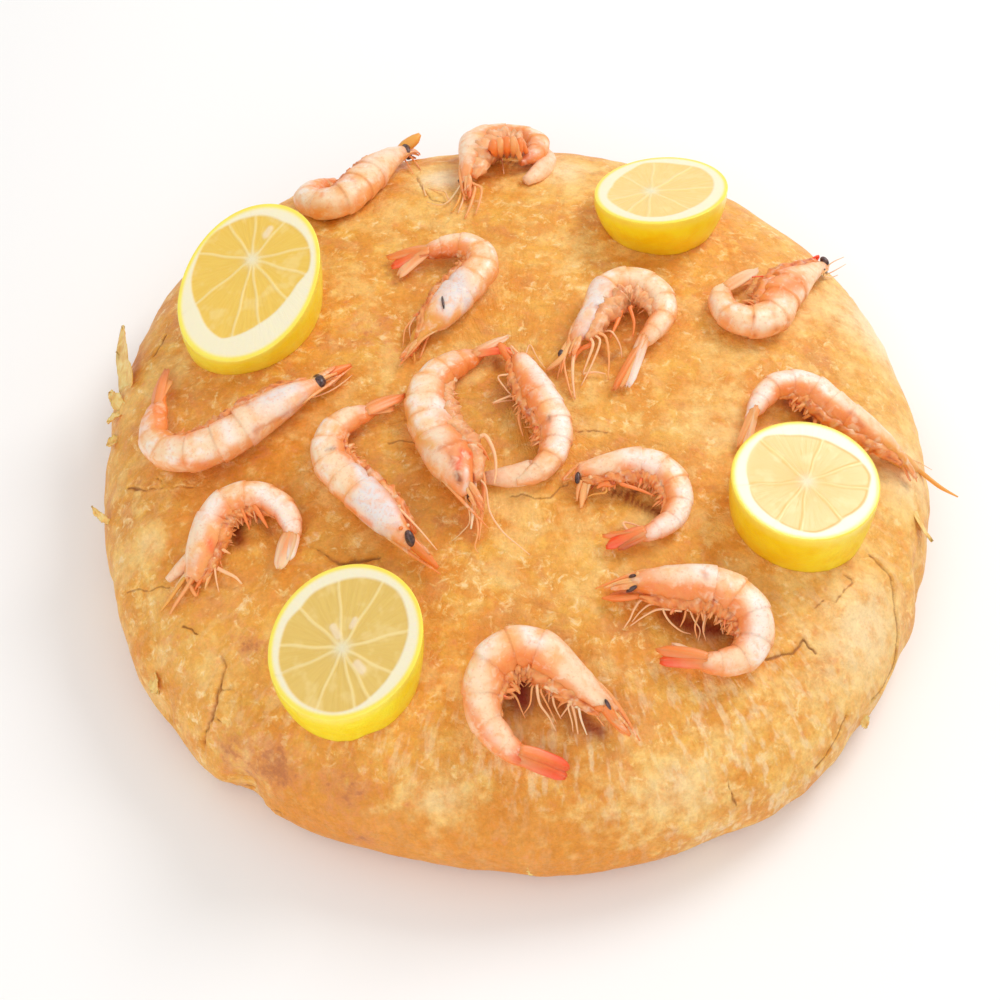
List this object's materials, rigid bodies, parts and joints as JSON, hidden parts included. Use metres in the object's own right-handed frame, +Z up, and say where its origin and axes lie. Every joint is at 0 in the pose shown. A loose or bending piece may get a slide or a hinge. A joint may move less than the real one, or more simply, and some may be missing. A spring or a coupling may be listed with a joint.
{
  "type": "fish pastilla",
  "caption": "Uncut round savoury filo pie with a domed crackled golden crust, flat underneath, topped with curled whole cooked shrimps and thick lemon slices.",
  "frame": {"origin": "middle of the pie's outline, on the flat underside it stands on", "axes": "+Z up out of the flat underside; +X to the right and +Y to the back as the pie was pictured"},
  "size_m": [0.3191, 0.3211, 0.0875],
  "materials": {
    "crust": "baked, mottled golden brown, slightly greasy",
    "shrimp": "moist, pink and orange banded",
    "lemon": "waxy yellow rind, wet pale flesh"
  },
  "bodies": {
    "root": {"pastilla": "crust", "shrimp_01": "shrimp", "shrimp_02": "shrimp", "shrimp_03": "shrimp", "shrimp_04": "shrimp", "shrimp_05": "shrimp", "shrimp_06": "shrimp", "shrimp_07": "shrimp", "shrimp_08": "shrimp", "shrimp_09": "shrimp", "shrimp_10": "shrimp", "shrimp_11": "shrimp", "shrimp_12": "shrimp", "shrimp_13": "shrimp", "shrimp_14": "shrimp", "lemon_slice_1": "lemon", "lemon_slice_2": "lemon", "lemon_slice_3": "lemon", "lemon_slice_4": "lemon"}
  },
  "joints": []
}
